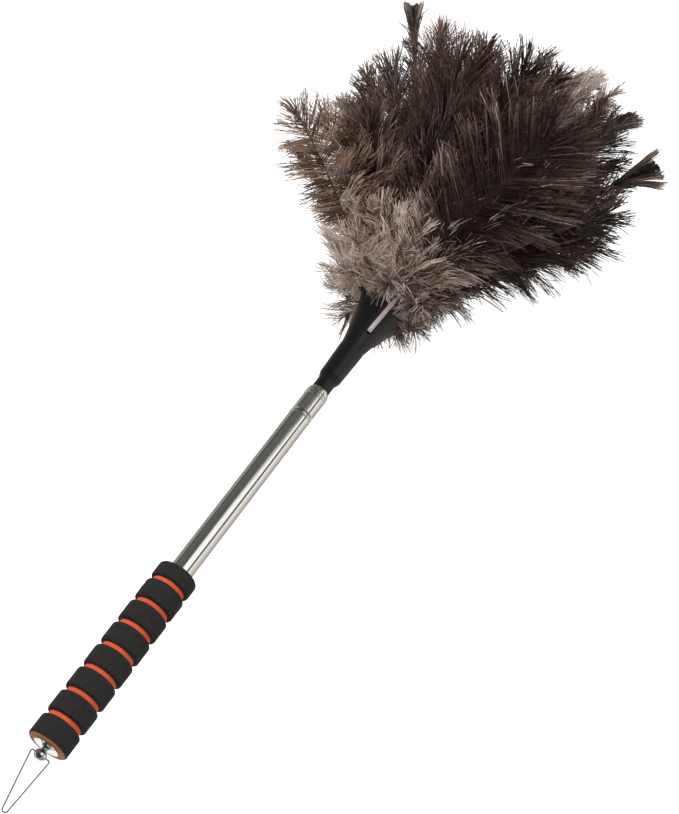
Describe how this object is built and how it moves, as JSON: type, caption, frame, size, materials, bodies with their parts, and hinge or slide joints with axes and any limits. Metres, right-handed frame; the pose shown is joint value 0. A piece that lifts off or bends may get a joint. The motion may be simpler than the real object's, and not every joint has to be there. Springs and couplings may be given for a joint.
{
  "type": "feather duster",
  "caption": "Ostrich feather duster on a telescopic steel pole, with a ringed foam grip, a chromed butt cap and a swinging wire hanging loop.",
  "frame": {"origin": "on the pole's axis, in the middle of the foam grip", "axes": "+Z along the pole, from the grip to the feathers; +X to the right and +Y away, as seen with the bare quill of the cup in front; the hanging loop swings about X"},
  "size_m": [0.3121, 0.3261, 0.8668],
  "materials": {
    "polished_steel": "polished stainless steel",
    "chrome_cap": "bright chrome",
    "loop_wire": "drawn spring wire",
    "black_foam": "soft closed-cell foam, matt",
    "orange_foam": "soft closed-cell foam, matt",
    "tan_washer": "fibre, matt",
    "white_nylon": "nylon",
    "black_plastic": "satin moulded plastic",
    "dowel_wood": "bare softwood",
    "binding_thread": "waxed thread, wound tight",
    "brown_feather": "ostrich plume, brown",
    "dark_feather": "ostrich plume, near black",
    "pale_down": "ostrich down, taupe"
  },
  "bodies": {
    "handle": {"outer_tube": "polished_steel", "guide_bushing_1": "white_nylon", "grip_core": "orange_foam", "grip_ring_1": "black_foam", "grip_ring_2": "black_foam", "grip_ring_3": "black_foam", "grip_ring_4": "black_foam", "grip_ring_5": "black_foam", "grip_ring_6": "black_foam", "grip_ring_7": "black_foam", "grip_ring_8": "black_foam", "end_washer": "tan_washer", "butt_cap": "chrome_cap"},
    "hang_loop": {"wire_loop": "loop_wire"},
    "stage_2": {"stage_2_tube": "polished_steel", "stage_2_sleeve": "white_nylon", "guide_bushing_2": "white_nylon"},
    "stage_3": {"stage_3_tube": "polished_steel", "stage_3_sleeve": "white_nylon", "guide_bushing_3": "white_nylon"},
    "stage_4": {"stage_4_sleeve": "white_nylon"},
    "head": {"stage_4_tube": "polished_steel", "head_socket": "black_plastic", "head_collar": "black_plastic", "feather_cup": "black_plastic", "core_dowel": "dowel_wood", "quill_binding": "binding_thread", "slot_plume_1": "brown_feather", "slot_plume_2": "brown_feather", "slot_plume_3": "brown_feather", "slot_plume_4": "brown_feather", "rim_plume_1": "brown_feather", "rim_plume_2": "brown_feather", "rim_plume_3": "brown_feather", "rim_plume_4": "brown_feather", "mid_plume_1": "dark_feather", "mid_plume_2": "dark_feather", "mid_plume_3": "dark_feather", "mid_plume_4": "dark_feather", "mid_plume_5": "dark_feather", "mid_plume_6": "dark_feather", "mid_plume_7": "dark_feather", "mid_plume_8": "dark_feather", "top_plume_1": "dark_feather", "top_plume_2": "dark_feather", "top_plume_3": "dark_feather", "top_plume_4": "dark_feather", "top_plume_5": "dark_feather", "core_plume_1": "dark_feather", "core_plume_2": "dark_feather", "down_plume_1": "pale_down", "down_plume_2": "pale_down", "down_plume_3": "pale_down", "down_plume_4": "pale_down", "down_plume_5": "pale_down", "down_plume_6": "pale_down", "down_plume_7": "pale_down", "down_plume_8": "pale_down"}
  },
  "joints": [
    {"name": "loop_swing", "type": "hinge", "parent": "handle", "child": "hang_loop", "pos_m": [0, 0, -0.09085], "axis": [1, 0, 0], "range_deg": [-105, 105]},
    {"name": "stage_2_slide", "type": "slide", "parent": "handle", "child": "stage_2", "axis": [0, 0, 1], "range_m": [0, 0.3]},
    {"name": "stage_3_slide", "type": "slide", "parent": "stage_2", "child": "stage_3", "axis": [0, 0, 1], "range_m": [0, 0.3]},
    {"name": "stage_4_slide", "type": "slide", "parent": "stage_3", "child": "stage_4", "axis": [0, 0, 1], "range_m": [0, 0.3]},
    {"name": "head_turn", "type": "hinge", "parent": "stage_4", "child": "head", "pos_m": [0, 0, 0.33], "axis": [0, 0, 1], "continuous": true}
  ]
}
